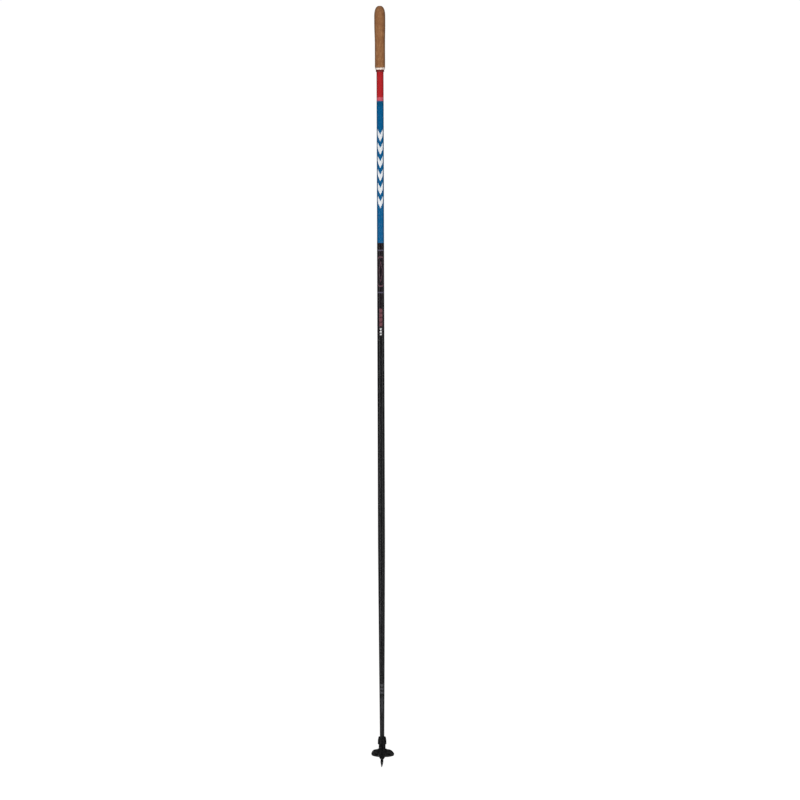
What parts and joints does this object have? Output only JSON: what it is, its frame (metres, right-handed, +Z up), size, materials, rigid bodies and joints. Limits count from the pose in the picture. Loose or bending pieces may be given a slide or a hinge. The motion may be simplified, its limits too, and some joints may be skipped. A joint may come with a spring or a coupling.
{
  "type": "cross-country ski pole",
  "caption": "Cross-country ski pole with a cork grip, a tapered carbon tube, and a clamped wing basket with a hard-metal point.",
  "frame": {"origin": "middle of the hand hold, on the tube's axis", "axes": "+Z up the tube's axis towards the grip, -Y in the direction of travel, +Y where the strap leaves the grip and the basket reaches back"},
  "size_m": [0.0516, 0.0436, 1.715],
  "materials": {
    "cork": "sanded natural cork, matte",
    "black_plastic": "fine moulded texture",
    "wedge_plastic": "fine moulded texture",
    "core_plastic": "moulded, hidden",
    "white_plastic": "satin white",
    "red_collar": "satin dark red",
    "printed_carbon": "carbon laminate under clear lacquer, printed red and blue bands at the top",
    "ferrule_metal": "dark anodised",
    "nut_plastic": "moulded, fluted",
    "seal_rubber": "soft matte",
    "collet_plastic": "natural moulded",
    "hub_plastic": "hard moulded, satin",
    "soft_plastic": "soft over-moulding, matte",
    "dark_steel": "blackened steel",
    "hard_metal": "ground sintered hard metal"
  },
  "bodies": {
    "pole": {"cork_grip": "cork", "strap_housing": "black_plastic", "grip_core": "core_plastic", "grip_end_ring": "white_plastic", "grip_collar": "red_collar", "shaft": "printed_carbon", "tip_ferrule": "ferrule_metal"},
    "wedge": {"strap_wedge": "wedge_plastic"},
    "basket": {"basket_hub": "hub_plastic", "basket_disc": "soft_plastic", "tip_sleeve": "dark_steel", "carbide_tip": "hard_metal"},
    "collet": {"split_collet": "collet_plastic"},
    "nut": {"lock_nut": "nut_plastic", "nut_seal_ring": "seal_rubber"}
  },
  "joints": [
    {"name": "wedge_slide", "type": "slide", "parent": "pole", "child": "wedge", "axis": [0, 1, 0], "range_m": [0, 0.018]},
    {"name": "basket_pull_off", "type": "slide", "parent": "pole", "child": "basket", "axis": [0, 0, -1], "range_m": [0, 0.042]},
    {"name": "collet_rise", "type": "slide", "parent": "basket", "child": "collet", "axis": [0, 0, 1], "range_m": [0, 0.0031]},
    {"name": "nut_turn", "type": "hinge", "parent": "collet", "child": "nut", "pos_m": [0, 0, -1.583], "axis": [0, 0, 1], "range_deg": [0, 360]}
  ],
  "couplings": [
    {"joint": "collet_rise", "follows": "nut_turn", "m_per_rad": 0.00047746}
  ]
}
